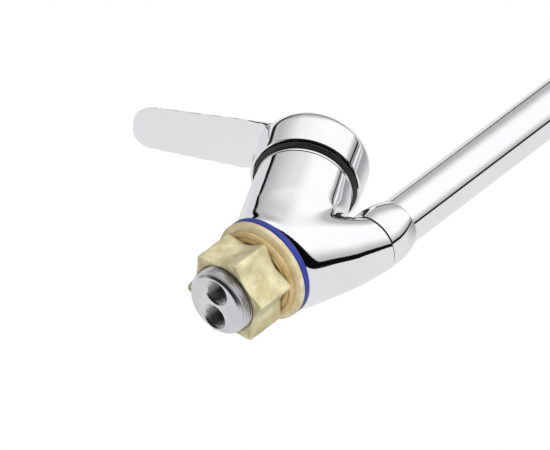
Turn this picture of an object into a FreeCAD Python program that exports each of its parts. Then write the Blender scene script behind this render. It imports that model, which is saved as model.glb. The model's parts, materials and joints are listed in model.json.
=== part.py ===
"""Single-lever sink mixer tap with a swivelling C spout and a single-hole deck fixing.

Frame: millimetres, +Z up.  The origin is the centre of the underside of the blue
mounting gasket, which is the deck plane.  The lever points along -Y, towards the
user, and the spout's riser stands behind the body at +Y.

Three local frames are used:
  deck    the model's own frame
  column  leans forward by column_lean about X; its z runs along the cartridge axis
  riser   upright, on the spout's swivel axis
"""
import FreeCAD, Part
import Sketcher
import math
import os
import re

SIZES = {
    # deck fixing
    "gasket_girth": 25.0, "gasket_bore": 16.4, "gasket_thick": 3.5,
    "flange_girth": 25.0, "flange_bore": 16.6, "flange_thick": 3.1, "flange_edge": 0.6,
    "washer_girth": 21.9, "washer_thick": 3.0, "washer_edge": 1.4, "ring_gap": 0.05,
    "shank_crest": 16.0, "shank_end": -34.4, "shank_top": 13.6, "shank_lead": 1.1,
    "thread_pitch": 1.5, "thread_depth": 0.85, "thread_turns": 20, "thread_start": -32.4,
    "inlet_spread": 7.2, "inlet_drill": 4.4, "inlet_thread": 5.5, "inlet_depth": 14.0,
    "inlet_lead": 0.6,
    "nut_tip": 23.3, "nut_phase": 11.8, "nut_valley": 17.7, "flute_girth": 28.0,
    "nut_top": -6.3, "nut_end": -28.1, "nut_bore": 16.05, "nut_lead": 0.8, "nut_edge": 0.9,
    # body
    "base_girth": 25.0, "column_girth": 23.6, "column_offset": 4.43, "column_lean": 27.4,
    "foot_reach": 27.0, "column_reach": 58.2,
    "riser_offset": 24.55, "seam_height": 47.15, "seam_girth": 14.5,
    "skirt_edge": 1.4, "skirt_top_girth": 24.2, "skirt_rise": 4.5,
    "foot_girth": 24.3, "branch_girth": 24.0, "branch_swell": 1.8,
    "chamber_floor": 31.0, "chamber_girth": 17.6, "gallery_girth": 19.7, "gallery_floor": 50.4,
    "socket_slack": 0.03, "spout_socket": 9.1, "spout_socket_floor": 29.5,
    "outlet_way": 3.6, "outlet_height": 38.0, "inlet_way": 4.0,
    "feed_depth": 20.0, "lock_height": 33.5, "lock_thread": 2.0, "lock_reach": 16.2, "lock_tip": 8.0,
    # cartridge, heights along the column axis
    "seal_girth": 16.8, "seal_thick": 1.0,
    "cartridge_girth": 17.4, "base_top": 38.0,
    "fixed_disc_girth": 14.5, "fixed_disc_top": 42.0, "port_girth": 3.0,
    "disc_gap": 0.05, "moving_disc_girth": 11.5, "moving_disc_top": 44.6, "mixing_girth": 6.4,
    "mixing_depth": 1.3,
    "carrier_top": 49.3, "ball_height": 48.5, "ball_girth": 2.9, "ball_slack": 0.15,
    "stalk_girth": 2.2,
    "housing_bore": 16.6, "housing_step": 53.0, "housing_top": 55.0, "housing_neck": 13.6,
    "housing_mouth": 12.4, "housing_lip": 60.0,
    "yoke_floor": 49.5, "yoke_girth": 16.5, "yoke_step": 52.9, "yoke_neck": 12.33,
    "yoke_top": 60.6, "slot_half_width": 4.15, "slot_front": 9.5, "slot_back": 7.5,
    "pivot_height": 57.5, "pin_girth": 1.5, "pin_half": 12.0, "pin_slack": 0.04,
    "stem_half": 4.0, "stem_foot": 55.2, "stem_top": 79.8, "stem_slack": 0.05,
    "nut_ring_girth": 19.5, "nut_ring_bore": 14.2, "nut_ring_floor": 55.1, "nut_ring_top": 58.0,
    # cover rings
    "trim_girth": 23.2, "trim_bore": 19.6, "trim_top": 61.5, "trim_round": 0.7,
    "slide_girth": 22.4, "slide_bore": 14.6, "slide_top": 63.0, "slide_slope": 3.0, "slide_edge": 61.9,
    # handle, heights along the column axis
    "rim_height": 63.5, "rim_girth": 26.3, "rim_bore": 25.3, "skirt_girth": 27.1,
    "skirt_height": 79.0, "shoulder_girth": 24.6, "shoulder_height": 85.2,
    "crown_girth": 14.0, "crown_height": 89.4, "apex_height": 90.6,
    "skirt_tuck": 0.35, "skirt_turn": 2.4, "shoulder_bulge": 0.8, "shoulder_lift": 0.7,
    "rim_step": 1.5, "window_floor": 20.6, "window_depth": 10.0,
    "cavity_bore": 24.6, "cavity_height": 71.0, "roof_height": 77.5, "roof_girth": 21.0,
    "hub_girth": 9.0, "hub_floor": 66.2,
    "lever_height": 85.9, "lever_thick": 5.0, "lever_droop": 2.1, "lever_reach": 87.1,
    "lever_root_half": 16.6, "lever_tip_half": 12.4, "lever_tip_round": 9.5,
    "grub_height": 71.8, "grub_thread": 2.45, "grub_front": 13.5, "plug_girth": 3.4,
    "plug_thick": 1.8, "plug_sink": 0.5,
    # spout
    "slip_girth": 14.1, "slip_bore": 9.6, "slip_thick": 0.6, "collar_gap": 0.1,
    "collar_shoulder": 55.5, "collar_belly": 14.35, "collar_cheek": 61.5, "collar_cheek_girth": 13.6,
    "collar_top": 66.8, "collar_straight": 52.5, "collar_top_girth": 12.3,
    "tube_girth": 11.6, "tube_bore": 10.5, "tube_foot": 52.0, "riser_top": 215.0,
    "bend_girth": 85.0, "tube_end": 172.0,
    "spigot_girth": 9.05, "spigot_bore": 6.4, "spigot_floor": 30.0, "spigot_top": 60.0,
    "shoulder_floor": 48.0, "lock_groove": 7.7, "lock_groove_half": 2.4,
    "ring_groove": 7.7, "ring_wire": 0.68, "low_ring": 39.0, "high_ring": 43.6,
    "ring_groove_half": 0.95,
    "aerator_girth": 12.4, "aerator_end": 158.0, "aerator_step": 174.0, "aerator_bore": 10.4,
    "aerator_lip": 9.2, "aerator_edge": 0.6, "aerator_seat": 0.2, "aerator_rebate": 1.6,
    "insert_girth": 10.3, "insert_top": 168.0, "insert_floor": 160.2,
    "flow_washer_top": 170.0, "flow_washer_bore": 7.6, "screen_girth": 9.1, "screen_thick": 0.6,
    "cell_girth": 0.9, "cell_pitch": 2.6,
}

doc = FreeCAD.newDocument("sink_mixer")
sheet = doc.addObject("Spreadsheet::Sheet", "dims")
for row, (alias, size) in enumerate(SIZES.items(), start=1):
    sheet.set(f"A{row}", alias)
    sheet.set(f"B{row}", repr(size))
    sheet.setAlias(f"B{row}", alias)
doc.recompute()

FRAMES = {
    "deck": (None, None, None),
    "column": ("column_offset", "gasket_thick", "column_lean"),
    "riser": ("riser_offset", None, None),
}
NODES = []
BRANCH_STEPS = 6


def linked(formula):
    """A formula in size names, with each name pointed at its cell in the sheet."""
    def cell(match):
        word = match.group()
        return "dims." + word if word in SIZES else word
    return re.sub(r"[a-z_]+", cell, str(formula))


def value(formula):
    """What a formula comes to now, in millimetres or degrees."""
    return float(sheet.evalExpression(linked(formula)))


def new_body(label, frame="deck"):
    """An empty body for one sub-part, standing in one of the three frames."""
    body = doc.addObject("PartDesign::Body", label)
    body.Label = label
    along, up, lean = FRAMES[frame]
    body.Placement = FreeCAD.Placement(
        FreeCAD.Vector(0, 0, 0), FreeCAD.Rotation(FreeCAD.Vector(1, 0, 0), value(lean or "0")))
    if along:
        body.setExpression("Placement.Base.y", linked(along))
    if up:
        body.setExpression("Placement.Base.z", linked(up))
    if lean:
        body.setExpression("Placement.Rotation.Angle", linked(lean))
    NODES.append(body)
    return body


def origin_plane(body, role):
    """One of a body's own planes, by its role."""
    return [feature for feature in body.Origin.OriginFeatures if feature.Role == role][0]


def new_sketch(body, name, plane="XY_Plane", along="0", up="0", lean="0"):
    """A sketch on one of the body's own planes, shifted by along (y) and up (z), leant about x."""
    sketch = body.newObject("Sketcher::SketchObject", f"{body.Label}_{name}")
    sketch.AttachmentSupport = [(origin_plane(body, plane), "")]
    sketch.MapMode = "FlatFace"
    # A turn by no angle would lose its axis, so an unleant sketch starts at any other angle,
    # and its expression brings it to nought.
    start_angle = value(lean) or SIZES["column_lean"]
    sketch.AttachmentOffset = FreeCAD.Placement(
        FreeCAD.Vector(0, value(along), value(up)),
        FreeCAD.Rotation(FreeCAD.Vector(1, 0, 0), start_angle))
    sketch.setExpression("AttachmentOffset.Base.y", linked(along))
    sketch.setExpression("AttachmentOffset.Base.z", linked(up))
    sketch.setExpression("AttachmentOffset.Rotation.Angle", linked(lean))
    return sketch


def lock(sketch, shape, end, across, upward):
    """Hold one point of a sketch at (across, upward)."""
    for kind, formula, axis in (("DistanceX", across, -2), ("DistanceY", upward, -1)):
        place = value(formula)
        if str(formula) == "0":
            sketch.addConstraint(Sketcher.Constraint("PointOnObject", shape, end, axis))
        else:
            rule = sketch.addConstraint(Sketcher.Constraint(kind, shape, end, place))
            sketch.setExpression(f"Constraints[{rule}]", linked(formula))


def draw_outline(sketch, corners):
    """A closed outline of straight edges through the corners."""
    spots = [FreeCAD.Vector(value(across), value(upward), 0) for across, upward in corners]
    count = len(spots)
    first = sketch.GeometryCount
    for index in range(count):
        sketch.addGeometry(Part.LineSegment(spots[index], spots[(index + 1) % count]))
    for index in range(count):
        following = first + (index + 1) % count
        sketch.addConstraint(Sketcher.Constraint("Coincident", first + index, 2, following, 1))
    for index, (across, upward) in enumerate(corners):
        lock(sketch, first + index, 1, across, upward)


def draw_circle(sketch, radius, across="0", upward="0"):
    """A circle of a given radius about (across, upward)."""
    centre = FreeCAD.Vector(value(across), value(upward), 0)
    shape = sketch.addGeometry(Part.Circle(centre, FreeCAD.Vector(0, 0, 1), value(radius)))
    rule = sketch.addConstraint(Sketcher.Constraint("Radius", shape, value(radius)))
    sketch.setExpression(f"Constraints[{rule}]", linked(radius))
    lock(sketch, shape, 3, across, upward)


def keep(body, feature):
    """Make a new feature the body's result."""
    body.Tip = feature
    doc.recompute()
    return feature


def turn(body, name, corners):
    """Add a ring or shaft: corners are (radius, height) about the body's z axis."""
    sketch = new_sketch(body, name, "XZ_Plane")
    draw_outline(sketch, corners)
    feature = body.newObject("PartDesign::Revolution", f"{body.Label}_{name}_turn")
    feature.Profile = sketch
    feature.ReferenceAxis = (sketch, ["V_Axis"])
    feature.Angle = 360
    return keep(body, feature)


def groove(body, name, corners):
    """Cut a ring away: corners are (radius, height) about the body's z axis."""
    before = body.Shape.Volume
    sketch = new_sketch(body, name, "XZ_Plane")
    draw_outline(sketch, corners)
    feature = body.newObject("PartDesign::Groove", f"{body.Label}_{name}_groove")
    feature.Profile = sketch
    feature.ReferenceAxis = (sketch, ["V_Axis"])
    feature.Angle = 360
    keep(body, feature)
    check_cut(body, feature, before)
    return feature


def pad(body, sketch, length):
    """Raise a sketch along its own normal."""
    feature = body.newObject("PartDesign::Pad", f"{sketch.Label}_pad")
    feature.Profile = sketch
    feature.setExpression("Length", linked(length))
    return keep(body, feature)


def pocket(body, sketch, length, forward=True):
    """Cut a sketch's shape out along its normal, or against it."""
    before = body.Shape.Volume
    feature = body.newObject("PartDesign::Pocket", f"{sketch.Label}_pocket")
    feature.Profile = sketch
    feature.setExpression("Length", linked(length))
    feature.Reversed = forward
    keep(body, feature)
    check_cut(body, feature, before)
    return feature


def check_cut(body, feature, before):
    """Stop if a cutting feature took nothing away."""
    if not body.Shape.Volume < before - 1e-6:
        raise RuntimeError(f"{feature.Label} cuts nothing")


def drill(body, name, radius, places, start, length):
    """Round holes along the body's z axis, upward from a height."""
    sketch = new_sketch(body, name, up=start)
    for across, upward in places:
        draw_circle(sketch, radius, across, upward)
    return pocket(body, sketch, length)


def loft(body, name, sketches):
    """A smooth skin through two or more sketches."""
    feature = body.newObject("PartDesign::AdditiveLoft", f"{body.Label}_{name}_loft")
    feature.Profile = sketches[0]
    feature.Sections = sketches[1:]
    return keep(body, feature)


def edges_where(shape, test):
    """Names of the edges whose middle point and box pass a test."""
    names = []
    for number, edge in enumerate(shape.Edges, start=1):
        middle = edge.valueAt((edge.FirstParameter + edge.LastParameter) / 2)
        if test(edge, middle):
            names.append(f"Edge{number}")
    return names


def soften(body, kind, size, test):
    """Fillet or chamfer the edges of the body's result that pass a test."""
    base = body.Tip
    names = edges_where(base.Shape, test)
    if not names:
        raise RuntimeError(f"{body.Label} has no edge to soften")
    feature = body.newObject(f"PartDesign::{kind}", f"{body.Label}_{kind.lower()}_{len(body.Group)}")
    feature.Base = (base, names)
    if kind == "Fillet":
        feature.setExpression("Radius", linked(size))
    else:
        feature.setExpression("Size", linked(size))
    return keep(body, feature)


def near(first, second, slack=0.02):
    return abs(first - second) < slack


def ring(inner, outer, low, high):
    """Corners of a plain ring's section."""
    return [(inner, low), (outer, low), (outer, high), (inner, high)]


# ---------------------------------------------------------------- deck fixing
def mounting_gasket():
    """Flat rubber ring between the tap's base and the deck."""
    body = new_body("mounting_gasket")
    turn(body, "section", ring("gasket_bore", "gasket_girth", "0", "gasket_thick"))


def clamping_flange():
    """Wide brass ring that bears on the deck's underside."""
    body = new_body("clamping_flange")
    low = "-ring_gap-flange_thick"
    turn(body, "section", [
        ("flange_bore", low), ("flange_girth-flange_edge", low),
        ("flange_girth", low + "+flange_edge"), ("flange_girth", "-ring_gap"),
        ("flange_bore", "-ring_gap")])


def clamping_washer():
    """Brass washer with a rolled edge between the flange and the nut."""
    body = new_body("clamping_washer")
    high = "-ring_gap*2-flange_thick"
    turn(body, "section", ring("flange_bore", "washer_girth", high + "-washer_thick", high))
    low = value(high + "-washer_thick")
    outer = value("washer_girth")
    soften(body, "Fillet", "washer_edge",
           lambda edge, middle: near(middle.z, low) and near(edge.BoundBox.XMax, outer))


def star_nut():
    """Six-pointed cast brass nut with hollow flanks, tightened from below by hand or tube key."""
    body = new_body("star_nut")
    plan = new_sketch(body, "plan", up="nut_end")
    draw_outline(plan, [(f"nut_tip*cos(nut_phase+{60 * tip})", f"nut_tip*sin(nut_phase+{60 * tip})")
                        for tip in range(6)])
    pad(body, plan, "nut_top-nut_end")
    flute = new_sketch(body, "flute", up="nut_end")
    reach = "(nut_valley+flute_girth)"
    draw_circle(flute, "flute_girth", reach + "*cos(nut_phase+30)", reach + "*sin(nut_phase+30)")
    hollow = pocket(body, flute, "nut_top-nut_end")
    around = body.newObject("PartDesign::PolarPattern", "star_nut_flutes")
    around.Originals = [hollow]
    around.Axis = (flute, ["N_Axis"])
    around.Angle = 360
    around.Occurrences = 6
    keep(body, around)
    drill(body, "bore", "nut_bore", [("0", "0")], "nut_end", "nut_top-nut_end")
    end = value("nut_end")
    bore = value("nut_bore")
    soften(body, "Chamfer", "nut_lead",
           lambda edge, middle: near(middle.z, end) and near(edge.BoundBox.XMax, bore))
    groove(body, "face", [
        ("nut_tip-nut_edge", "nut_end-nut_edge/2"), ("nut_tip+nut_edge", "nut_end-nut_edge/2"),
        ("nut_tip+nut_edge", "nut_end+nut_edge*1.6")])


def threaded_shank():
    """Brass shank screwed up into the body, threaded outside, with two tapped inlets."""
    body = new_body("threaded_shank")
    end = "shank_end"
    turn(body, "blank", [
        ("0", end), ("shank_crest-shank_lead", end), ("shank_crest", end + "+shank_lead"),
        ("shank_crest", "shank_top"), ("0", "shank_top")])
    first = groove(body, "thread", [
        ("shank_crest+0.2", "thread_start-thread_pitch*0.42"),
        ("shank_crest+0.2", "thread_start+thread_pitch*0.42"),
        ("shank_crest-thread_depth", "thread_start")])
    along = body.newObject("PartDesign::LinearPattern", "threaded_shank_thread")
    along.Originals = [first]
    along.Direction = (first.Profile[0], ["V_Axis"])
    along.setExpression("Length", linked("thread_pitch*(thread_turns-1)"))
    along.Occurrences = int(SIZES["thread_turns"])
    keep(body, along)
    sides = [("-inlet_spread", "0"), ("inlet_spread", "0")]
    drill(body, "ways", "inlet_drill", sides, end, "shank_top-shank_end")
    drill(body, "sockets", "inlet_thread", sides, end, "inlet_depth")
    low = value(end)
    thread = value("inlet_thread")
    soften(body, "Chamfer", "inlet_lead",
           lambda edge, middle: near(middle.z, low) and near(edge.BoundBox.XLength, 2 * thread))


# ---------------------------------------------------------------- body
def body_casting():
    """Cast brass body: a leaning cartridge column and a branch that carries the spout."""
    body = new_body("body_casting")
    floor = "gasket_thick"
    turn(body, "skirt", [
        ("0", floor), ("base_girth", floor), ("base_girth", floor + "+skirt_edge"),
        ("skirt_top_girth", floor + "+skirt_rise"), ("0", floor + "+skirt_rise")])
    foot = new_sketch(body, "foot", up=floor)
    draw_circle(foot, "foot_girth")
    collar = new_sketch(
        body, "knee", along="column_offset-foot_reach*sin(column_lean)",
        up=f"{floor}+foot_reach*cos(column_lean)", lean="column_lean")
    draw_circle(collar, "column_girth")
    loft(body, "foot", [foot, collar])
    pad(body, collar, "column_reach-foot_reach")
    rings = []
    for step in range(BRANCH_STEPS + 1):
        share = step / BRANCH_STEPS
        swell = f"branch_swell*{2 * share * (1 - share)}"
        rings.append(new_sketch(body, f"branch_{step}", up=f"{floor}+(seam_height-{floor})*{share}"))
        draw_circle(rings[-1], f"branch_girth+(seam_girth-branch_girth)*{share}+{swell}",
                    "0", f"riser_offset*{share}+{swell}" if step else "0")
    branch = loft(body, "branch", rings)
    branch.Ruled = True
    drill(body, "shank_socket", "shank_crest+socket_slack", [("0", "0")], floor, "shank_top-gasket_thick")
    chamber_cut(body, "chamber", "chamber_girth", [("0", "0")], "chamber_floor",
                "column_reach-chamber_floor")
    chamber_cut(body, "gallery", "gallery_girth", [("0", "0")], "gallery_floor",
                "column_reach-gallery_floor")
    chamber_cut(body, "inlets", "inlet_way", [("-inlet_spread", "0"), ("inlet_spread", "0")],
                "chamber_floor-feed_depth", "feed_depth")
    drill(body, "spout_socket", "spout_socket", [("0", "riser_offset")], "spout_socket_floor",
          "seam_height-spout_socket_floor")
    way = new_sketch(body, "outlet_way", "XZ_Plane", up="-riser_offset")
    draw_circle(way, "outlet_way", "0", "outlet_height")
    pocket(body, way, "riser_offset")
    side = new_sketch(body, "lock_way", "YZ_Plane")
    draw_circle(side, "lock_thread+socket_slack", "riser_offset", "lock_height")
    pocket(body, side, "base_girth", forward=False)


def chamber_cut(body, name, radius, places, start, length):
    """Round holes along the column's axis, upward from a distance along it."""
    sketch = new_sketch(
        body, name, along=f"column_offset-({start})*sin(column_lean)",
        up=f"gasket_thick+({start})*cos(column_lean)", lean="column_lean")
    for across, upward in places:
        draw_circle(sketch, radius, across, upward)
    return pocket(body, sketch, length)


# ---------------------------------------------------------------- cartridge
def cartridge_seals():
    """Rubber face seal under the cartridge, with a hole for each inlet."""
    body = new_body("cartridge_seals", "column")
    turn(body, "section", ring("0", "seal_girth", "chamber_floor", "chamber_floor+seal_thick"))
    drill(body, "inlets", "inlet_way", [("-inlet_spread", "0"), ("inlet_spread", "0")],
          "chamber_floor", "seal_thick")


def cartridge_base():
    """Plastic foot of the cartridge, with the two inlets and the mixed-water way."""
    body = new_body("cartridge_base", "column")
    low = "chamber_floor+seal_thick"
    turn(body, "section", ring("0", "cartridge_girth", low, "base_top-disc_gap"))
    drill(body, "ports", "port_girth",
          [("-inlet_spread", "0"), ("inlet_spread", "0"), ("0", "inlet_spread")], low,
          "base_top-chamber_floor")


def fixed_ceramic_disc():
    """Lower ceramic disc, with three ports."""
    body = new_body("fixed_ceramic_disc", "column")
    turn(body, "section", ring("0", "fixed_disc_girth", "base_top", "fixed_disc_top"))
    drill(body, "ports", "port_girth",
          [("-inlet_spread", "0"), ("inlet_spread", "0"), ("0", "inlet_spread")], "base_top",
          "fixed_disc_top-base_top")


def moving_ceramic_disc():
    """Upper ceramic disc, hollowed below, which slides and turns on the lower one."""
    body = new_body("moving_ceramic_disc", "column")
    turn(body, "section", ring("0", "moving_disc_girth", "fixed_disc_top+disc_gap", "moving_disc_top"))
    drill(body, "mixing", "mixing_girth", [("0", "0")], "fixed_disc_top+disc_gap", "mixing_depth")


def disc_carrier():
    """Plastic carrier keyed to the upper disc, with the socket for the stem's ball."""
    body = new_body("disc_carrier", "column")
    low = "moving_disc_top"
    turn(body, "section", ring("0", "moving_disc_girth", low, "carrier_top"))
    drill(body, "socket", "ball_girth+ball_slack", [("0", "0")],
          "ball_height-ball_girth-ball_slack", "carrier_top-ball_height+ball_girth+ball_slack")


def cartridge_housing():
    """Plastic shell of the cartridge with the neck that guides the yoke."""
    body = new_body("cartridge_housing", "column")
    turn(body, "section", [
        ("housing_bore", "base_top"), ("cartridge_girth", "base_top"),
        ("cartridge_girth", "housing_top"), ("housing_neck", "housing_top"),
        ("housing_neck", "housing_lip"), ("housing_mouth", "housing_lip"),
        ("housing_mouth", "housing_step"), ("housing_bore", "housing_step")])


def turning_yoke():
    """Rotor that the lever turns inside the housing; it holds the stem's pivot pin."""
    body = new_body("turning_yoke", "column")
    turn(body, "section", [
        ("0", "yoke_floor"), ("yoke_girth", "yoke_floor"), ("yoke_girth", "yoke_step"),
        ("yoke_neck", "yoke_step"), ("yoke_neck", "yoke_top"), ("0", "yoke_top")])
    slot = new_sketch(body, "slot", up="yoke_floor")
    draw_outline(slot, [
        ("-slot_half_width", "-slot_front"), ("slot_half_width", "-slot_front"),
        ("slot_half_width", "slot_back"), ("-slot_half_width", "slot_back")])
    pocket(body, slot, "yoke_top-yoke_floor")
    eye = new_sketch(body, "eye", "YZ_Plane", up="-yoke_neck")
    draw_circle(eye, "pin_girth+socket_slack", "0", "pivot_height")
    pocket(body, eye, "yoke_neck*2")


def stem_pivot_pin():
    """Steel pin across the yoke that the stem rocks on."""
    body = new_body("stem_pivot_pin", "column")
    end = new_sketch(body, "end", "YZ_Plane", up="-pin_half")
    draw_circle(end, "pin_girth", "0", "pivot_height")
    pad(body, end, "pin_half*2")


def cartridge_stem():
    """Steel stem: square above for the handle, a stalk and ball below for the disc carrier."""
    body = new_body("cartridge_stem", "column")
    plan = new_sketch(body, "square", up="stem_foot")
    draw_outline(plan, [
        ("-stem_half", "-stem_half"), ("stem_half", "-stem_half"),
        ("stem_half", "stem_half"), ("-stem_half", "stem_half")])
    pad(body, plan, "stem_top-stem_foot")
    stalk = new_sketch(body, "stalk", up="ball_height")
    draw_circle(stalk, "stalk_girth")
    pad(body, stalk, "stem_foot-ball_height")
    ball = body.newObject("PartDesign::AdditiveSphere", "stem_ball")
    ball.setExpression("Radius", linked("ball_girth"))
    ball.AttachmentSupport = [(origin_plane(body, "XY_Plane"), "")]
    ball.MapMode = "FlatFace"
    ball.setExpression("AttachmentOffset.Base.z", linked("ball_height"))
    keep(body, ball)
    eye = new_sketch(body, "eye", "YZ_Plane", up="-stem_half")
    draw_circle(eye, "pin_girth+pin_slack", "0", "pivot_height")
    pocket(body, eye, "stem_half*2")


def cartridge_retaining_nut():
    """Brass ring nut that holds the cartridge down in the body."""
    body = new_body("cartridge_retaining_nut", "column")
    turn(body, "section", ring("nut_ring_bore", "nut_ring_girth", "nut_ring_floor", "nut_ring_top"))


def trim_ring():
    """Chromed lip ring pressed on the top of the column."""
    body = new_body("trim_ring", "column")
    turn(body, "section", ring("trim_bore", "trim_girth", "column_reach", "trim_top"))
    top = value("trim_top")
    outer = value("trim_girth")
    soften(body, "Fillet", "trim_round",
           lambda edge, middle: near(edge.BoundBox.XMax, outer)
           and near(edge.BoundBox.XMin, -outer) and middle.z > top - 0.1)


def slide_ring():
    """Black plastic cover ring between the trim ring and the turning handle."""
    body = new_body("slide_ring", "column")
    turn(body, "section", [
        ("slide_bore", "trim_top"), ("slide_girth", "trim_top"), ("slide_girth", "slide_edge"),
        ("slide_bore+slide_slope", "slide_top"), ("slide_bore", "slide_top")])


# ---------------------------------------------------------------- handle
def handle():
    """Chromed zinc handle: a hollow domed cap with a broad flat lever."""
    body = new_body("handle", "column")
    cavity = [
        ("hub_girth", "roof_height"), ("roof_girth", "roof_height"),
        ("cavity_bore", "cavity_height"), ("rim_bore", "rim_height+rim_step")]
    turn(body, "cap", [("0", "hub_floor"), ("hub_girth", "hub_floor")] + cavity + [
        ("rim_bore", "rim_height"), ("rim_girth", "rim_height"), ("skirt_girth", "skirt_height"),
        ("skirt_girth-skirt_tuck", "skirt_height+skirt_turn"),
        ("shoulder_girth", "shoulder_height"),
        ("(shoulder_girth+crown_girth)/2+shoulder_bulge",
         "(shoulder_height+crown_height)/2+shoulder_lift"),
        ("crown_girth", "crown_height"), ("0", "apex_height")])
    paddle = new_sketch(body, "paddle", up="lever_height-lever_thick/2", lean="lever_droop")
    tip_half = "lever_tip_half"
    draw_outline(paddle, [
        ("-lever_root_half", "0"), (f"-{tip_half}", "-lever_reach"),
        (tip_half, "-lever_reach"), ("lever_root_half", "0")])
    pad(body, paddle, "lever_thick")
    reach = value("lever_reach")
    soften(body, "Fillet", "lever_tip_round",
           lambda edge, middle: middle.y < 3 - reach and edge.BoundBox.XLength < 0.1)
    square = new_sketch(body, "square", up="hub_floor")
    half = "stem_half+stem_slack"
    draw_outline(square, [
        (f"-({half})", f"-({half})"), (half, f"-({half})"), (half, half), (f"-({half})", half)])
    pocket(body, square, "stem_top+stem_slack-hub_floor")
    screw = new_sketch(body, "screw_way", "XZ_Plane")
    draw_circle(screw, "grub_thread+socket_slack", "0", "grub_height")
    pocket(body, screw, "grub_front")
    window = new_sketch(body, "window", "XZ_Plane", up="window_floor")
    draw_circle(window, "plug_girth+socket_slack", "0", "grub_height")
    pocket(body, window, "window_depth")


def handle_grub_screw():
    """Steel grub screw that clamps the handle on the stem."""
    body = new_body("handle_grub_screw", "column")
    end = new_sketch(body, "end", "XZ_Plane", up="stem_half+stem_slack")
    draw_circle(end, "grub_thread", "0", "grub_height")
    pad(body, end, "hub_girth-stem_half")


def index_plug():
    """Small red and blue plug over the grub screw's hole in the cap's skirt."""
    body = new_body("index_plug", "column")
    face = new_sketch(body, "face", "XZ_Plane", up="skirt_girth-plug_thick-plug_sink")
    draw_circle(face, "plug_girth", "0", "grub_height")
    pad(body, face, "plug_thick")


# ---------------------------------------------------------------- spout
def spout_slip_ring():
    """Thin plastic ring that the spout's collar turns on."""
    body = new_body("spout_slip_ring", "riser")
    turn(body, "section", ring("slip_bore", "slip_girth", "seam_height", "seam_height+slip_thick"))


def spout_lock_screw():
    """Grub screw in the body whose tip keeps the spigot from lifting out."""
    body = new_body("spout_lock_screw", "riser")
    end = new_sketch(body, "end", "YZ_Plane", up="-lock_reach")
    draw_circle(end, "lock_thread", "0", "lock_height")
    pad(body, end, "lock_reach-lock_tip")


def spout_collar():
    """Chromed domed collar at the foot of the spout."""
    body = new_body("spout_collar", "riser")
    low = "seam_height+slip_thick+collar_gap"
    turn(body, "section", [
        ("tube_girth+socket_slack", low), ("seam_girth", low), ("seam_girth", "collar_straight"),
        ("collar_belly", "collar_shoulder"), ("collar_cheek_girth", "collar_cheek"),
        ("collar_top_girth", "collar_top"), ("tube_girth+socket_slack", "collar_top")])


def spout_spigot():
    """Brass spigot soldered in the tube, which turns in the body's socket."""
    body = new_body("spout_spigot", "riser")
    turn(body, "section", [
        ("spigot_bore", "spigot_floor"), ("spigot_girth", "spigot_floor"),
        ("spigot_girth", "shoulder_floor"), ("tube_girth-socket_slack", "shoulder_floor"),
        ("tube_girth-socket_slack", "tube_foot"), ("tube_bore-socket_slack", "tube_foot"),
        ("tube_bore-socket_slack", "spigot_top"), ("spigot_bore", "spigot_top")])
    for name in ("low_ring", "high_ring"):
        groove(body, name, ring("ring_groove", "spigot_girth+1", f"{name}-ring_groove_half",
                                f"{name}+ring_groove_half"))
    groove(body, "lock", ring("lock_groove", "spigot_girth+1", "lock_height-lock_groove_half",
                              "lock_height+lock_groove_half"))


def spout_o_rings():
    """Two rubber rings in the spigot's grooves."""
    rings = []
    for name in ("low_ring", "high_ring"):
        torus = doc.addObject("Part::Torus", f"{name}_torus")
        torus.setExpression("Radius1", linked("ring_groove+ring_wire"))
        torus.setExpression("Radius2", linked("ring_wire-0.01"))
        torus.setExpression("Placement.Base.z", linked(name))
        rings.append(torus)
    pair = doc.addObject("Part::Compound", "spout_o_rings")
    pair.Label = "spout_o_rings"
    pair.Links = rings
    pair.setExpression("Placement.Base.y", linked("riser_offset"))
    NODES.append(pair)


def spout_tube():
    """Chromed brass tube: riser, half-circle bend and down leg."""
    body = new_body("spout_tube", "riser")
    section = new_sketch(body, "wall", up="tube_foot")
    draw_circle(section, "tube_girth")
    draw_circle(section, "tube_bore")
    path = new_sketch(body, "path", "YZ_Plane")
    foot, high, bend, end = (value(name) for name in ("tube_foot", "riser_top", "bend_girth", "tube_end"))
    path.addGeometry(Part.LineSegment(FreeCAD.Vector(0, foot, 0), FreeCAD.Vector(0, high, 0)))
    circle = Part.Circle(FreeCAD.Vector(-bend, high, 0), FreeCAD.Vector(0, 0, 1), bend)
    path.addGeometry(Part.ArcOfCircle(circle, 0, math.pi))
    path.addGeometry(Part.LineSegment(FreeCAD.Vector(-2 * bend, high, 0),
                                      FreeCAD.Vector(-2 * bend, end, 0)))
    path.addConstraint(Sketcher.Constraint("Coincident", 0, 2, 1, 1))
    path.addConstraint(Sketcher.Constraint("Coincident", 1, 2, 2, 1))
    lock(path, 0, 1, "0", "tube_foot")
    lock(path, 0, 2, "0", "riser_top")
    lock(path, 1, 3, "-bend_girth", "riser_top")
    lock(path, 2, 2, "-2*bend_girth", "tube_end")
    level = path.addConstraint(Sketcher.Constraint("DistanceY", 1, 2, high))
    path.setExpression(f"Constraints[{level}]", linked("riser_top"))
    doc.recompute()
    pipe = body.newObject("PartDesign::AdditivePipe", "spout_tube_pipe")
    pipe.Profile = section
    pipe.Spine = (path, ["Edge1", "Edge2", "Edge3"])
    keep(body, pipe)


def at_outlet(body):
    """Stand a body on the down leg's axis."""
    body.setExpression("Placement.Base.y", linked("riser_offset-2*bend_girth"))


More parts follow.
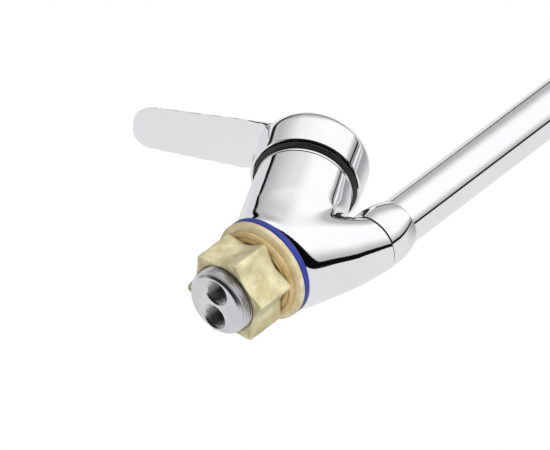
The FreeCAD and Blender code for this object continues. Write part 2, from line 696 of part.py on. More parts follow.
def aerator_housing():
    """Chromed ring screwed on the end of the spout."""
    body = new_body("aerator_housing", "riser")
    at_outlet(body)
    turn(body, "section", [
        ("aerator_lip", "aerator_end"), ("aerator_girth-aerator_edge", "aerator_end"),
        ("aerator_girth", "aerator_end+aerator_edge"),
        ("aerator_girth", "aerator_step-aerator_edge"),
        ("aerator_girth-aerator_edge/2", "aerator_step"),
        ("tube_girth+socket_slack", "aerator_step"),
        ("tube_girth+socket_slack", "tube_end-aerator_seat"),
        ("aerator_bore", "tube_end-aerator_seat"),
        ("aerator_bore", "aerator_end+aerator_rebate"),
        ("aerator_lip", "aerator_end+aerator_rebate")])


def aerator_insert():
    """Plastic jet body inside the aerator housing."""
    body = new_body("aerator_insert", "riser")
    at_outlet(body)
    turn(body, "section", ring("0", "insert_girth", "insert_floor", "insert_top"))
    spots = [("0", "0")]
    for turn_number in range(6):
        spots.append((f"cell_pitch*2*cos({60 * turn_number})", f"cell_pitch*2*sin({60 * turn_number})"))
    drill(body, "jets", "cell_girth", spots, "insert_floor", "insert_top-insert_floor")


def aerator_washer():
    """Rubber washer between the tube's end and the jet body."""
    body = new_body("aerator_washer", "riser")
    at_outlet(body)
    turn(body, "section", ring("flow_washer_bore", "insert_girth", "insert_top", "flow_washer_top"))


def aerator_screen():
    """Plastic honeycomb screen that the water leaves through."""
    body = new_body("aerator_screen", "riser")
    at_outlet(body)
    low = "insert_floor-screen_thick"
    turn(body, "section", ring("0", "screen_girth", low, "insert_floor"))
    spots = [("0", "0")]
    for distance, count in ((1, 6), (2, 12)):
        for step in range(count):
            angle = 360 / count * step
            spots.append((f"cell_pitch*{distance}*cos({angle})", f"cell_pitch*{distance}*sin({angle})"))
    drill(body, "cells", "cell_girth", spots, low, "screen_thick")


for make in (
        mounting_gasket, clamping_flange, clamping_washer, star_nut, threaded_shank, body_casting,
        cartridge_seals, cartridge_base, fixed_ceramic_disc, moving_ceramic_disc, disc_carrier,
        cartridge_housing, turning_yoke, stem_pivot_pin, cartridge_stem, cartridge_retaining_nut,
        trim_ring, slide_ring, handle, handle_grub_screw, index_plug, spout_slip_ring,
        spout_lock_screw, spout_collar, spout_spigot, spout_o_rings, spout_tube, aerator_housing,
        aerator_insert, aerator_washer, aerator_screen):
    make()

doc.recompute()
failed = [item.Label for item in doc.Objects if "Invalid" in item.State or "Error" in item.State]
if failed:
    raise RuntimeError("failed objects: " + ", ".join(failed))
for node in NODES:
    if node.Shape.isNull() or not node.Shape.isValid():
        raise RuntimeError(f"{node.Label} has no valid shape")

os.makedirs("parts", exist_ok=True)
for node in NODES:
    node.Shape.exportStep(f"parts/{node.Label}.step")
    print(node.Label, len(node.Shape.Solids), round(node.Shape.Volume))
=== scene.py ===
"""Looks of a single-lever sink mixer tap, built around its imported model.

Sizes are millimetres times mm.  The tap stands on its deck plane, z = 0, with the lever
towards -Y.  Pieces on the leaning cartridge column are made upright and then stood on it.
"""
import json
from math import atan2, cos, hypot, pi, radians, sin

import bmesh
import bpy
from mathutils import Matrix, Vector


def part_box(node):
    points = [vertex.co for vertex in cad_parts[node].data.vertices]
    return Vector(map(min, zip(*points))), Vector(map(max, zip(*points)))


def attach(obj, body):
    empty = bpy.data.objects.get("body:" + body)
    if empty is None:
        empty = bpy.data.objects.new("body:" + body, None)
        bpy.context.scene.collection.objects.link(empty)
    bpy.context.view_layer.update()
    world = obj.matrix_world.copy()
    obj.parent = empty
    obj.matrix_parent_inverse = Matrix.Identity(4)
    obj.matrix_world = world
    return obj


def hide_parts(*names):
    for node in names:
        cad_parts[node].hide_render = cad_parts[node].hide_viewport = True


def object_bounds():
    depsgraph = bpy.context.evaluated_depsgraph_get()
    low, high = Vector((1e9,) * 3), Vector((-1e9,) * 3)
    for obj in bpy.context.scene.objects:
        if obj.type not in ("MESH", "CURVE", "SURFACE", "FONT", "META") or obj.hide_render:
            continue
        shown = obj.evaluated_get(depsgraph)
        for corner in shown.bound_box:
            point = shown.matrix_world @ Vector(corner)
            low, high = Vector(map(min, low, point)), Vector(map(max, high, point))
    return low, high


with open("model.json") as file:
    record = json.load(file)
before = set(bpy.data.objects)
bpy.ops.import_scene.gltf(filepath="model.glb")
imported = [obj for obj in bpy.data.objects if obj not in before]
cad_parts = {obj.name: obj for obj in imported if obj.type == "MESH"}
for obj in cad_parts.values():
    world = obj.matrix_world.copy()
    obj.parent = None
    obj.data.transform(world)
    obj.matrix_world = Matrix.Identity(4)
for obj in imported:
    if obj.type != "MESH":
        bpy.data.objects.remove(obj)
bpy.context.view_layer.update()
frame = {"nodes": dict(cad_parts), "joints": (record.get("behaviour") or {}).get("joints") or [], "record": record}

# ---- View
# The tap is seen from below, from its right side and a little from behind, through a long
# lens, so that the star nut, the rings and the shank's end face the viewer.
mm = 0.001
view_aim = Vector((14.0, -6.25, 14.2)) * mm
view_distance = 3061.55 * mm
view_azimuth, view_drop, view_roll = radians(34.25), radians(37.0), radians(53.4)
towards = Vector((
    cos(view_drop) * cos(view_azimuth), cos(view_drop) * sin(view_azimuth), -sin(view_drop)))
bpy.ops.object.select_all(action="DESELECT")
bpy.ops.object.camera_add(location=view_aim + towards * view_distance)
camera = bpy.context.object
camera.name = "view"
camera.rotation_euler = (
    towards.to_track_quat("Z", "Y").to_matrix() @ Matrix.Rotation(view_roll, 3, "Z")).to_euler()
camera.data.sensor_width = 36.0
camera.data.lens = 436.75
camera.data.clip_end = 20.0
bpy.context.scene.camera = camera
bpy.context.scene.view_settings.view_transform = "Standard"


# ---- Studio light
# A white tent with narrow dark gaps between its cloths, dark ground on the right, and a
# greyer front and roof.  Polished chrome shows nothing else; the viewer sees plain white.
def add_node(tree, kind, inputs=None, **settings):
    """A shader node with its settings, and its inputs' values or links."""
    made = tree.nodes.new("ShaderNode" + kind)
    for name, setting in settings.items():
        setattr(made, name, setting)
    for socket, given in (inputs or {}).items():
        if isinstance(given, bpy.types.NodeSocket):
            tree.links.new(given, made.inputs[socket])
        else:
            made.inputs[socket].default_value = given
    return made


def sums(tree, operation, *terms):
    """One step of arithmetic on numbers or sockets."""
    return add_node(tree, "Math", dict(enumerate(terms)), operation=operation).outputs[0]


def ramp(tree, given, start, end, low=0.0, high=1.0):
    """A smooth step from low to high as the given number goes from start to end."""
    return add_node(tree, "MapRange", {
        "Value": given, "From Min": start, "From Max": end, "To Min": low, "To Max": high,
    }, interpolation_type="SMOOTHSTEP").outputs[0]


def straight(tree, given, start, end, low=0.0, high=1.0):
    """A straight step from low to high as the given number goes from start to end."""
    return add_node(tree, "MapRange", {
        "Value": given, "From Min": start, "From Max": end, "To Min": low, "To Max": high,
    }).outputs[0]


def beyond(tree, given, edge, soft):
    """A mask that goes from 0 to 1 as the given number passes an edge, over soft to each side."""
    return ramp(tree, sums(tree, "SUBTRACT", given, edge), -soft, soft)


tent = bpy.data.worlds.new("tent")
bpy.context.scene.world = tent
tent.use_nodes = True
tree = tent.node_tree
tree.nodes.clear()
heading = add_node(tree, "SeparateXYZ", {0: add_node(tree, "TexCoord").outputs["Generated"]})
turn_rad = sums(tree, "ARCTAN2", heading.outputs["Y"], heading.outputs["X"])
bearing = sums(tree, "FLOORED_MODULO", sums(tree, "DEGREES", turn_rad), 360.0)
height = sums(tree, "DEGREES", sums(tree, "ARCSINE", heading.outputs["Z"]))

# Bearings are degrees from +X towards +Y.  Signed ones run from -180 to 180, so that a mask
# can cross straight ahead of +X.
signed = sums(tree, "SUBTRACT", sums(
    tree, "FLOORED_MODULO", sums(tree, "ADD", bearing, 180.0), 360.0), 180.0)
right_from = straight(tree, height, -12.0, 2.0, 20.0, 75.5)
right_to = straight(tree, height, 0.0, 42.0, 89.0, 84.0)
right_gap = sums(tree, "MULTIPLY", beyond(tree, signed, right_from, 1.2),
                 beyond(tree, right_to, signed, 0.6))
right_fade = ramp(tree, sums(tree, "SUBTRACT", signed, right_from), -32.0, 0.0, 1.0, 0.5)
ground_width = sums(tree, "MULTIPLY", ramp(tree, signed, -80.0, -60.0), ramp(tree, signed, 88.0, 86.0))
low_gap = sums(tree, "MULTIPLY", ramp(tree, height, -3.5, -7.0), ground_width)
front_from = 262.5
front_to = straight(tree, height, 18.0, 28.0, 270.5, 277.0)
front_gap = sums(tree, "MULTIPLY", beyond(tree, bearing, front_from, 1.5),
                 beyond(tree, front_to, bearing, 2.5))
edge_width = sums(tree, "MULTIPLY", ramp(tree, bearing, 208.0, 214.0), ramp(tree, bearing, 228.0, 222.0))
edge_rise = sums(tree, "MULTIPLY", ramp(tree, height, 30.0, 36.0), ramp(tree, height, 48.0, 42.0))
edge_gap = sums(tree, "MULTIPLY", edge_width, edge_rise)
side_cloth = sums(tree, "MULTIPLY", ramp(tree, bearing, 85.0, 88.0), ramp(tree, bearing, 275.0, 266.0))
front_reach = straight(tree, height, 24.0, 40.0, 326.0, 348.0)
front_cloth = sums(tree, "MULTIPLY", ramp(tree, bearing, 266.0, 275.0),
                   ramp(tree, sums(tree, "SUBTRACT", bearing, front_reach), 0.0, -50.0))
roof_width = sums(tree, "MULTIPLY", ramp(tree, bearing, 40.0, 90.0), ramp(tree, bearing, 210.0, 150.0))
roof = sums(tree, "MULTIPLY", ramp(tree, height, 42.0, 72.0), roof_width)
cloth_glow, diffuse_share = 1.06, 0.62
tone = sums(tree, "MULTIPLY", cloth_glow, right_fade)
for mask, shade in ((side_cloth, 0.8), (front_cloth, 0.5), (roof, 0.35), (edge_gap, 0.15),
                    (front_gap, 0.006), (low_gap, 0.01), (right_gap, 0.004)):
    tone = add_node(tree, "Mix", {0: mask, 2: tone, 3: shade}, data_type="FLOAT").outputs[0]
cloth = add_node(tree, "CombineColor", {0: tone, 1: tone, 2: sums(tree, "MULTIPLY", tone, 1.012)})
path = add_node(tree, "LightPath")
seen = add_node(tree, "Mix", {
    0: path.outputs["Is Camera Ray"], 6: cloth.outputs[0], 7: (1.0, 1.0, 1.0, 1.0),
}, data_type="RGBA")
glow = add_node(tree, "Background", {
    "Color": seen.outputs[2],
    "Strength": straight(tree, path.outputs["Is Diffuse Ray"], 0.0, 1.0, 1.0, diffuse_share)})
add_node(tree, "OutputWorld", {"Surface": glow.outputs[0]})

# A soft lamp, low down to the right and behind, gives the brass its light and shaded flanks.
bpy.ops.object.light_add(type="AREA", location=Vector((620, 420, -330)) * mm)
lamp = bpy.context.object
lamp.name = "soft_lamp"
lamp.data.size = 260 * mm
lamp.data.energy = 6.5
lamp.rotation_euler = (lamp.location - view_aim).to_track_quat("Z", "Y").to_euler()
lamp.visible_glossy = False

# ---- Floor
# A pale sheet just under the shank's end.  Seen from below it is clear, and it takes no
# light away from the tap's underside.
bpy.ops.mesh.primitive_circle_add(
    vertices=96, radius=2.5, fill_type="NGON", location=(0, 0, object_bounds()[0][2] - 0.4 * mm))
floor = bpy.context.object
floor.name = "floor"
paper = bpy.data.materials.new("pale_paper")
paper.use_nodes = True
tree = paper.node_tree
paper_shade = tree.nodes["Principled BSDF"]
paper_shade.inputs["Base Color"].default_value = (0.9, 0.9, 0.895, 1.0)
paper_shade.inputs["Roughness"].default_value = 0.8
clear = add_node(tree, "BsdfTransparent")
sides = add_node(tree, "MixShader", {
    0: add_node(tree, "NewGeometry").outputs["Backfacing"], 1: paper_shade.outputs[0], 2: clear.outputs[0]})
tree.links.new(sides.outputs[0], tree.nodes["Material Output"].inputs["Surface"])
floor.data.materials.append(paper)
floor.visible_shadow = floor.visible_diffuse = floor.visible_glossy = False


# ---- Gasket
# The blue ring between tap and sink is a moulded rubber washer.  It is turned from one
# section with softened corners, and lies under the base, proud of it all round.
def turned(name, section, solid=False, around=144):
    """A piece turned about Z, each circle (radius, height) of its section drawn out of the last."""
    radius, level = section[0]
    bpy.ops.object.select_all(action="DESELECT")
    bpy.ops.mesh.primitive_circle_add(vertices=around, radius=radius * mm, location=(0, 0, level * mm))
    piece = bpy.context.object
    piece.name = piece.data.name = name
    bpy.ops.object.transform_apply()
    bpy.ops.object.mode_set(mode="EDIT")
    bpy.ops.mesh.select_all(action="SELECT")
    for (radius, level), (wider, higher) in zip(section, section[1:]):
        bpy.ops.mesh.extrude_region_move(TRANSFORM_OT_translate={"value": (0, 0, (higher - level) * mm)})
        share = wider / radius
        bpy.ops.transform.resize(value=(share, share, 1), center_override=(0, 0, higher * mm))
    bpy.ops.mesh.select_all(action="DESELECT")
    bpy.ops.mesh.select_non_manifold()
    if solid:
        bpy.ops.mesh.fill_holes(sides=0)
    else:
        bpy.ops.mesh.bridge_edge_loops()
    bpy.ops.mesh.select_all(action="SELECT")
    bpy.ops.mesh.normals_make_consistent(inside=False)
    bpy.ops.object.mode_set(mode="OBJECT")
    return piece


def apply_modifier(piece, kind, **settings):
    """Add a modifier, set it and apply it."""
    bpy.ops.object.select_all(action="DESELECT")
    piece.select_set(True)
    bpy.context.view_layer.objects.active = piece
    modifier = piece.modifiers.new(kind.lower(), kind)
    for name, setting in settings.items():
        setattr(modifier, name, setting)
    bpy.ops.object.modifier_apply(modifier=modifier.name)


def soften(piece, width, segments=3, corner=28):
    """Round the piece's corners by a width in millimetres and shade it smooth between them."""
    apply_modifier(piece, "BEVEL", width=width * mm, segments=segments, limit_method="ANGLE",
                   angle_limit=radians(corner), use_clamp_overlap=True)
    bpy.ops.object.shade_smooth_by_angle(angle=radians(32))


marks = bpy.data.node_groups.new("surface_marks", "ShaderNodeTree")
for name, given in (("Patch size", 60.0), ("Grain size", 900.0), ("Grain share", 0.5)):
    marks.interface.new_socket(name, in_out="INPUT", socket_type="NodeSocketFloat").default_value = given
for name in ("Patches", "Grain"):
    marks.interface.new_socket(name, in_out="OUTPUT", socket_type="NodeSocketFloat")
entry, leave = marks.nodes.new("NodeGroupInput"), marks.nodes.new("NodeGroupOutput")
place = add_node(marks, "TexCoord").outputs["Object"]
patches = add_node(marks, "TexNoise", {
    "Vector": place, "Scale": entry.outputs["Patch size"], "Detail": 3.0, "Roughness": 0.55})
grain = add_node(marks, "TexNoise", {
    "Vector": place, "Scale": entry.outputs["Grain size"], "Detail": 2.0, "Roughness": 0.6})
blended = add_node(marks, "Mix", {
    0: entry.outputs["Grain share"], 2: patches.outputs[0], 3: grain.outputs[0]}, data_type="FLOAT")
marks.links.new(ramp(marks, patches.outputs[0], 0.3, 0.7), leave.inputs["Patches"])
marks.links.new(blended.outputs[0], leave.inputs["Grain"])


def finish(name, pale, deep, rough, metal, patch=60.0, fine=900.0, relief=0.05, relief_depth=0.1):
    """A finish whose colour and roughness drift between two values, with a fine relief in its surface."""
    made = bpy.data.materials.new(name)
    made.use_nodes = True
    tree = made.node_tree
    shade = tree.nodes["Principled BSDF"]
    worn = add_node(tree, "Group", node_tree=marks)
    worn.inputs["Patch size"].default_value = patch
    worn.inputs["Grain size"].default_value = fine
    colour = add_node(tree, "Mix", {0: worn.outputs["Patches"], 6: (*pale, 1.0), 7: (*deep, 1.0)},
                      data_type="RGBA")
    colour.name = "colour"
    tree.links.new(colour.outputs[2], shade.inputs["Base Color"])
    tree.links.new(straight(tree, worn.outputs["Grain"], 0.3, 0.7, *rough), shade.inputs["Roughness"])
    bump = add_node(tree, "Bump", {
        "Strength": relief, "Distance": relief_depth * mm, "Height": worn.outputs["Grain"]})
    tree.links.new(bump.outputs[0], shade.inputs["Normal"])
    shade.inputs["Metallic"].default_value = metal
    made.diffuse_color = (*pale, 1.0)
    return made


def dress(piece, material):
    """Give a piece one material in place of what it has."""
    piece.data.materials.clear()
    piece.data.materials.append(material)


gasket_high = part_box("mounting_gasket")[1]
deck_rubber = finish("deck_rubber", (0.022, 0.036, 0.25), (0.032, 0.05, 0.30), (0.38, 0.55), 0.0,
                     patch=90, fine=1500, relief=0.25)
gasket_girth, gasket_top = gasket_high.x / mm, gasket_high.z / mm
gasket_bore, gasket_edge = 16.4, 0.5
gasket = turned("deck_gasket", [
    (gasket_bore, 0), (gasket_girth - gasket_edge, 0), (gasket_girth, gasket_edge),
    (gasket_girth, gasket_top - gasket_edge), (gasket_girth - gasket_edge, gasket_top),
    (gasket_bore, gasket_top)])
soften(gasket, 0.2, 2)
dress(gasket, deck_rubber)
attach(gasket, "fixed")
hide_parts("mounting_gasket")

# ---- Clamping flange
# The wide ring under the sink is pressed from brass plate and left raw, so its face is
# dull and stained, with a rounded outer edge.
flange_low, flange_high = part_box("clamping_flange")
flange_girth, flange_top, flange_end = (
    flange_high.x / mm, flange_high.z / mm, flange_low.z / mm)
ring_bore = 16.6
raw_brass = finish("raw_brass", (0.88, 0.80, 0.55), (0.70, 0.58, 0.34), (0.42, 0.62), 0.3,
                   patch=110, fine=1400, relief=0.5, relief_depth=0.16)
flange = turned("deck_flange", [
    (ring_bore, flange_end), (19.5, flange_end), (23.2, flange_end),
    (flange_girth - 0.25, flange_end + 0.35),
    (flange_girth, flange_end + 1.0), (flange_girth, flange_top - 0.4),
    (flange_girth - 0.4, flange_top), (ring_bore, flange_top)])
soften(flange, 0.18, 2)
dress(flange, raw_brass)
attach(flange, "clamp")
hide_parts("clamping_flange")

# ---- Clamping washer
# A second brass ring under the flange, with its outer edge rolled over towards the nut.
# The roll is what the nut's points bear on, so the middle of the ring is hollowed.
washer_low, washer_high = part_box("clamping_washer")
washer_girth, washer_top, washer_end = (
    washer_high.x / mm, washer_high.z / mm, washer_low.z / mm)
roll = 1.35
roll_section = [(washer_girth - roll + roll * cos(step * pi / 8),
                 washer_end + roll - roll * sin(step * pi / 8)) for step in range(0, 8)]
washer_section = [(ring_bore, washer_top), (washer_girth - 0.5, washer_top),
                  (washer_girth - 0.05, washer_top - 0.5)] + roll_section
washer_section += [(washer_girth - 2.7, washer_end + 0.75), (18.0, washer_end + 0.5),
                   (ring_bore, washer_end + 0.5)]
washer = turned("rolled_washer", washer_section)
soften(washer, 0.12, 2)
rolled_brass = finish("rolled_brass", (0.74, 0.58, 0.30), (0.62, 0.45, 0.20), (0.36, 0.58), 0.45,
                      patch=140, fine=1600, relief=0.35, relief_depth=0.12)
dress(washer, rolled_brass)
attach(washer, "clamp")
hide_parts("clamping_washer")

# ---- Star nut
# A cast brass nut with six points and hollow flanks, run up by hand or with a tube key.
# Its flanks are hollowed deeper at the top, and each point has a small mark in its end.
nut_low, nut_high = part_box("star_nut")
nut_top, nut_end = nut_high.z / mm, nut_low.z / mm
nut_tip, nut_phase, tip_round = 23.5, 11.8, 0.5
hollow_front, hollow_more, end_edge = 2.5, 1.1, 0.45
nut_bore_girth, mark_spread, mark_girth, mark_depth = 16.12, 20.6, 0.5, 0.55
flank_mid = nut_tip * cos(pi / 6)


def cut(piece, cutter, operation="DIFFERENCE"):
    """Take a cutter's shape out of a piece, and throw the cutter away."""
    apply_modifier(piece, "BOOLEAN", object=cutter, operation=operation, solver="MANIFOLD")
    bpy.data.objects.remove(cutter)


def rod(radius, start, end, sides=64):
    """A round cutter between two points in millimetres."""
    start, end = Vector(start) * mm, Vector(end) * mm
    bpy.ops.object.select_all(action="DESELECT")
    bpy.ops.mesh.primitive_cylinder_add(
        vertices=sides, radius=radius * mm, depth=(end - start).length, location=(start + end) / 2,
        rotation=(end - start).to_track_quat("Z", "Y").to_euler())
    bpy.ops.object.transform_apply()
    return bpy.context.object


bpy.ops.object.select_all(action="DESELECT")
bpy.ops.mesh.primitive_circle_add(
    vertices=120, radius=nut_tip * mm, location=(0, 0, nut_end * mm), rotation=(0, 0, radians(nut_phase)))
bpy.ops.object.transform_apply()
nut = bpy.context.object
nut.name = nut.data.name = "star_nut_casting"
bpy.ops.object.mode_set(mode="EDIT")
bpy.ops.mesh.select_all(action="SELECT")
nut_lip = 0.5
climbs = [nut_lip] + [(nut_top - nut_end - 2 * nut_lip) / 26] * 26 + [nut_lip]
for climb in climbs:
    bpy.ops.mesh.extrude_region_move(TRANSFORM_OT_translate={"value": (0, 0, climb * mm)})
bpy.ops.mesh.select_all(action="DESELECT")
bpy.ops.mesh.select_non_manifold()
bpy.ops.mesh.fill_holes(sides=0)
bpy.ops.mesh.select_all(action="SELECT")
bpy.ops.mesh.normals_make_consistent(inside=False)
bpy.ops.object.mode_set(mode="OBJECT")
for vertex in nut.data.vertices:
    level = vertex.co.z / mm
    rise = (level - nut_end) / (nut_top - nut_end)
    bearing_now = (atan2(vertex.co.y, vertex.co.x) - radians(nut_phase)) % (pi / 3) - pi / 6
    hollow = hollow_front + hollow_more * rise
    reach = flank_mid / cos(bearing_now) - hollow * (1 - (bearing_now / (pi / 6)) ** 2)
    at_end = min(level - nut_end, nut_top - level) < 0.01
    reach = min(reach, nut_tip - tip_round) - (end_edge if at_end else 0.0)
    share = reach * mm / hypot(vertex.co.x, vertex.co.y)
    vertex.co.x *= share
    vertex.co.y *= share
cast_waves = bpy.data.textures.new("cast_waves", "CLOUDS")
cast_waves.noise_scale = 4.5 * mm
apply_modifier(nut, "SMOOTH", factor=0.5, iterations=2)
apply_modifier(nut, "DISPLACE", texture=cast_waves, strength=0.5 * mm, mid_level=0.5)
nut_bore = turned("nut_bore", [
    (17.2, nut_end - 0.6), (17.2, nut_end + 0.2), (nut_bore_girth, nut_end + 1.2),
    (nut_bore_girth, nut_top - 0.4), (16.6, nut_top + 1)], solid=True)
cut(nut, nut_bore)
for point in range(6):
    tip_angle = radians(nut_phase + 60 * point)
    spot = Vector((mark_spread * cos(tip_angle), mark_spread * sin(tip_angle), 0))
    cut(nut, rod(mark_girth, spot + Vector((0, 0, nut_end - 1)),
                 spot + Vector((0, 0, nut_end + mark_depth)), 16))
soften(nut, 0.12, 2)
cast_brass = finish("cast_brass", (0.84, 0.79, 0.52), (0.60, 0.52, 0.29), (0.42, 0.62), 0.3,
                    patch=120, fine=1300, relief=0.6, relief_depth=0.2)
dress(nut, cast_brass)
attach(nut, "nut")
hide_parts("star_nut")

# ---- Threaded shank
# The plated brass shank carries a 1.5 mm pitch thread outside and takes the two hoses in
# tapped sockets in its faced end.  It is screwed up into the body for good.
shank_low, shank_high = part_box("threaded_shank")
shank_crest, shank_end, shank_top = 16.0, shank_low.z / mm, shank_high.z / mm
pitch, thread_deep, shank_lead = 1.5, 1.15, 1.7
hose_spread, hose_crest, hose_thread, hose_pitch, hose_depth, water_way = 7.2, 6.1, 0.55, 1.0, 13.4, 4.4


def threaded(name, crest, depth, low, high, pitch, around=96):
    """A closed rod with a helical thread from below low to above high, cut flat at both."""
    bpy.ops.object.select_all(action="DESELECT")
    bpy.ops.mesh.primitive_plane_add(size=pitch * mm, location=(crest * mm, 0, (low - 2 * pitch) * mm))
    screw = bpy.context.object
    screw.name = screw.data.name = name
    bpy.ops.object.transform_apply()
    tooth = [(crest - depth, 0.0), (crest - depth, 0.08), (crest, 0.42), (crest, 0.58),
             (crest - depth, 0.92), (crest - depth, 1.0)]
    bpy.ops.object.mode_set(mode="EDIT")
    bpy.ops.mesh.delete(type="FACE")
    bpy.ops.object.mode_set(mode="OBJECT")
    outline = bmesh.new()
    spots = [outline.verts.new(Vector((radius, 0, low - 2 * pitch + share * pitch)) * mm)
             for radius, share in tooth]
    for first, second in zip(spots, spots[1:]):
        outline.edges.new((first, second))
    outline.to_mesh(screw.data)
    outline.free()
    turns = int((high - low) / pitch) + 4
    apply_modifier(screw, "SCREW", angle=2 * pi, screw_offset=pitch * mm, iterations=turns, steps=around,
                   render_steps=around, use_merge_vertices=True, merge_threshold=0.001 * mm)
    bpy.ops.object.mode_set(mode="EDIT")
    bpy.ops.mesh.select_all(action="SELECT")
    bpy.ops.mesh.remove_doubles(threshold=0.002 * mm)
    bpy.ops.mesh.normals_make_consistent(inside=False)
    for level, keep_above in ((low, True), (high, False)):
        bpy.ops.mesh.select_all(action="SELECT")
        bpy.ops.mesh.bisect(plane_co=(0, 0, level * mm), plane_no=(0, 0, 1), use_fill=True,
                            clear_inner=keep_above, clear_outer=not keep_above, threshold=0.0001 * mm)
    bpy.ops.mesh.select_all(action="SELECT")
    bpy.ops.mesh.normals_make_consistent(inside=False)
    bpy.ops.object.mode_set(mode="OBJECT")
    return screw


shank = threaded("plated_shank", shank_crest, thread_deep, shank_end, shank_top, pitch)
lead_cone = turned("lead_cone", [
    (shank_crest - shank_lead, shank_end - 0.01), (shank_crest, shank_end + shank_lead * 1.1),
    (shank_crest + 1, shank_end + shank_lead * 1.1 + 0.5), (shank_crest + 1, shank_top + 1)], solid=True)
cut(shank, lead_cone, "INTERSECT")
for side in (-1, 1):
    centre = Vector((hose_spread * side, 0, 0)) * mm
    tap = threaded("hose_thread", hose_crest, hose_thread, shank_end - 1, shank_end + hose_depth,
                   hose_pitch, around=48)
    tap.data.transform(Matrix.Translation(centre))
    cut(shank, tap)
    cut(shank, rod(water_way, (hose_spread * side, 0, shank_end + 12),
                   (hose_spread * side, 0, shank_top + 1)))
    mouth = turned("mouth", [(6.5, shank_end - 0.5), (6.5, shank_end), (5.7, shank_end + 0.8)],
                   solid=True, around=64)
    mouth.data.transform(Matrix.Translation(centre))
    cut(shank, mouth)
bpy.ops.object.shade_smooth_by_angle(angle=radians(25))
satin_plate = finish("satin_plate", (0.80, 0.80, 0.81), (0.70, 0.70, 0.72), (0.22, 0.36), 1.0,
                     patch=70, fine=2500, relief=0.12, relief_depth=0.05)
dress(shank, satin_plate)
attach(shank, "fixed")
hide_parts("threaded_shank")

# ---- Body
# The body is one brass casting, ground and chromed: a column that leans towards the user
# and a branch that rises to the spout's seam.  Both grow out of the round base, and a soft
# fillet joins them where they part.
lever_turn = next(joint for joint in frame["joints"] if joint["name"] == "lever_turn")
spout_swivel = next(joint for joint in frame["joints"] if joint["name"] == "spout_swivel")
column_foot, column_axis = Vector(lever_turn["pos_m"]), Vector(lever_turn["axis"])
lean = atan2(-column_axis.y, column_axis.z)
on_column = Matrix.Translation(column_foot) @ Matrix.Rotation(lean, 4, "X")
riser_y = spout_swivel["pos_m"][1] / mm
base_girth, base_level = 25.0, gasket_top
column_girth, column_reach, column_taper = 23.3, 58.2, 0.017
seam_level, seam_girth = 47.15, 14.5
branch_bulge, branch_steps = 3.6, 48


def stand(piece, matrix):
    """Stand a piece that was made upright at the origin in its place."""
    piece.data.transform(matrix)
    piece.data.update()
    return piece


def hoops(name, circles, around=128):
    """A closed skin over a row of circles, each (centre, lean about X, radius)."""
    bpy.ops.object.select_all(action="DESELECT")
    centre, tilt, radius = circles[0]
    bpy.ops.mesh.primitive_circle_add(vertices=around, radius=radius * mm, location=Vector(centre) * mm,
                                      rotation=(tilt, 0, 0))
    skin = bpy.context.object
    skin.name = skin.data.name = name
    bpy.ops.object.transform_apply()
    bpy.ops.object.mode_set(mode="EDIT")
    bpy.ops.mesh.select_all(action="SELECT")
    for (centre, tilt, radius), (upper, turned_to, wider) in zip(circles, circles[1:]):
        step = Vector(upper) - Vector(centre)
        bpy.ops.mesh.extrude_region_move(TRANSFORM_OT_translate={"value": step * mm})
        share = wider / radius
        bpy.ops.transform.resize(value=(share, share, share), center_override=Vector(upper) * mm)
        if turned_to != tilt:
            bpy.ops.transform.rotate(value=tilt - turned_to, orient_axis="X",
                                     center_override=Vector(upper) * mm)
    bpy.ops.mesh.select_all(action="DESELECT")
    bpy.ops.mesh.select_non_manifold()
    bpy.ops.mesh.fill_holes(sides=0)
    bpy.ops.mesh.select_all(action="SELECT")
    bpy.ops.mesh.normals_make_consistent(inside=False)
    bpy.ops.object.mode_set(mode="OBJECT")
    return skin


def along_column(reach):
    """The point on the column's axis at a reach in millimetres."""
    return on_column @ Vector((0, 0, reach * mm)) / mm


column = hoops("column", [
    (along_column(reach), lean, column_girth + column_taper * (column_reach - reach))
    for reach in (-18.0, column_reach + 6.0)])
cut(column, turned("base_outline", [
    (21.3, base_level - 2.5), (24.0, base_level + 0.5), (24.8, base_level + 2.8), (25.2, base_level + 5.5),
    (27.0, base_level + 8.5), (31.0, base_level + 11.5), (60.0, base_level + 25), (60.0, 80.0)],
    solid=True), "INTERSECT")


def branch_girth(share):
    """The branch's radius at a share of its rise, without its bulge."""
    return base_girth + (seam_girth - base_girth) * share


branch_circles = [((0, -1.2, base_level - 2.5), 0.0, 21.0), ((0, -0.3, base_level - 0.6), 0.0, 23.3),
                  ((0, 0.1, base_level + 0.2), 0.0, 24.05), ((0, 0.5, base_level + 1.0), 0.0, 24.45)]
for step in range(2, branch_steps + 6):
    share = step / branch_steps
    bulge = branch_bulge * max(0.0, share * (1 - share))
    branch_circles.append((
        (0, riser_y * share + bulge, base_level + (seam_level - base_level) * share), 0.0,
        branch_girth(share) + bulge))
branch = hoops("branch", branch_circles)
bpy.ops.object.select_all(action="DESELECT")
for part in (column, branch):
    part.select_set(True)
bpy.context.view_layer.objects.active = column
bpy.ops.object.join()
body = column
body.name = body.data.name = "body_casting_chromed"
fillet, crotch_reach, crotch_foot = 3.0, 17.0, 0.2
for offset in (fillet, -fillet, 0.0):
    apply_modifier(body, "REMESH", mode="VOXEL", voxel_size=0.7 * mm)
    apply_modifier(body, "SMOOTH", factor=0.5, iterations=14)
    if offset:
        apply_modifier(body, "DISPLACE", strength=offset * mm, mid_level=0.0)
crotch = body.vertex_groups.new(name="crotch")
for vertex in body.data.vertices:
    spot = vertex.co / mm
    local = on_column.inverted() @ vertex.co / mm
    share = (spot.z - base_level) / (seam_level - base_level)
    from_column = abs(hypot(local.x, local.y) - column_girth)
    from_branch = abs(hypot(spot.x, spot.y - riser_y * share) - branch_girth(share))
    near_both = 1 - (from_column + from_branch) / crotch_reach
    if near_both > 0 and share > crotch_foot:
        weight = min(1.0, 2.2 * near_both) * min(1.0, (share - crotch_foot) * 5)
        crotch.add([vertex.index], weight, "REPLACE")
